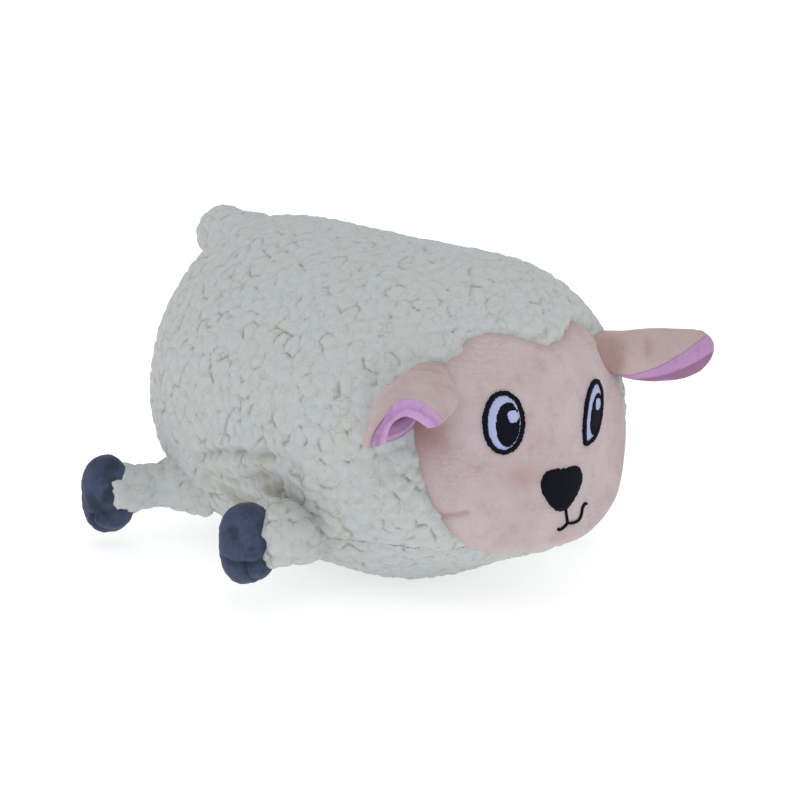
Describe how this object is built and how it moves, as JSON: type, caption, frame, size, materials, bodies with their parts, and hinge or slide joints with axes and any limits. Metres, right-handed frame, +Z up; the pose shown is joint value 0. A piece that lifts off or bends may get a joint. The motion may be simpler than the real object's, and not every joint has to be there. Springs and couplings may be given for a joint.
{
  "type": "plush sheep",
  "caption": "Stuffed toy sheep that lies on its belly, with a round sherpa body, embroidered face, folded ears, short spread legs with dark hooves and a stub tail.",
  "frame": {"origin": "middle of the flat that the belly rests on", "axes": "+Z up, the sheep faces -Y, +X is its left side"},
  "size_m": [0.2192, 0.2629, 0.1398],
  "materials": {
    "sherpa": "cream-white sherpa fleece with curled nubs",
    "face_cloth": "short-pile peach-pink plush",
    "ear_lining_cloth": "short-pile orchid-pink plush",
    "hoof_cloth": "short-pile grey-blue plush",
    "navy_thread": "satin-stitched dark navy thread",
    "white_thread": "satin-stitched bluish white thread",
    "stuffing": "polyester fibre filling"
  },
  "bodies": {
    "torso": {"back_cover": "sherpa", "belly_cover": "sherpa", "body_filling": "stuffing", "face_panel": "face_cloth", "nose_embroidery": "navy_thread", "mouth_embroidery": "navy_thread", "right_eye_outline": "navy_thread", "right_eye_white": "white_thread", "right_eye_pupil": "navy_thread", "right_eye_glint": "white_thread", "left_eye_outline": "navy_thread", "left_eye_white": "white_thread", "left_eye_pupil": "navy_thread", "left_eye_glint": "white_thread"},
    "right_ear": {"right_ear_outer": "face_cloth", "right_ear_lining": "ear_lining_cloth"},
    "left_ear": {"left_ear_outer": "face_cloth", "left_ear_lining": "ear_lining_cloth"},
    "front_right_leg": {"front_right_leg_sleeve": "sherpa", "front_right_hoof": "hoof_cloth", "front_right_leg_filling": "stuffing"},
    "front_left_leg": {"front_left_leg_sleeve": "sherpa", "front_left_hoof": "hoof_cloth", "front_left_leg_filling": "stuffing"},
    "rear_right_leg": {"rear_right_leg_sleeve": "sherpa", "rear_right_hoof": "hoof_cloth", "rear_right_leg_filling": "stuffing"},
    "rear_left_leg": {"rear_left_leg_sleeve": "sherpa", "rear_left_hoof": "hoof_cloth", "rear_left_leg_filling": "stuffing"},
    "tail": {"tail_cover": "sherpa", "tail_filling": "stuffing"}
  },
  "joints": [
    {"name": "right_ear_fold", "type": "hinge", "parent": "torso", "child": "right_ear", "pos_m": [-0.0465, -0.119, 0.098], "axis": [0, -1, 0], "range_deg": [-45, 10], "stiffness_Nm_per_rad": 0.06},
    {"name": "left_ear_fold", "type": "hinge", "parent": "torso", "child": "left_ear", "pos_m": [0.04319, -0.119, 0.103], "axis": [0, 1, 0], "range_deg": [-45, 10], "stiffness_Nm_per_rad": 0.06},
    {"name": "front_right_leg_bend", "type": "hinge", "parent": "torso", "child": "front_right_leg", "pos_m": [-0.0605, -0.058, 0.027], "axis": [0, 0, 1], "range_deg": [-25, 25], "stiffness_Nm_per_rad": 0.08},
    {"name": "front_left_leg_bend", "type": "hinge", "parent": "torso", "child": "front_left_leg", "pos_m": [0.0605, -0.058, 0.027], "axis": [0, 0, 1], "range_deg": [-25, 25], "stiffness_Nm_per_rad": 0.08},
    {"name": "rear_right_leg_bend", "type": "hinge", "parent": "torso", "child": "rear_right_leg", "pos_m": [-0.0572, 0.022, 0.027], "axis": [0, 0, 1], "range_deg": [-25, 25], "stiffness_Nm_per_rad": 0.08},
    {"name": "rear_left_leg_bend", "type": "hinge", "parent": "torso", "child": "rear_left_leg", "pos_m": [0.0572, 0.022, 0.027], "axis": [0, 0, 1], "range_deg": [-25, 25], "stiffness_Nm_per_rad": 0.08},
    {"name": "tail_wag", "type": "hinge", "parent": "torso", "child": "tail", "pos_m": [0, 0.0687, 0.118], "axis": [0, 0, 1], "range_deg": [-25, 25], "stiffness_Nm_per_rad": 0.04}
  ]
}
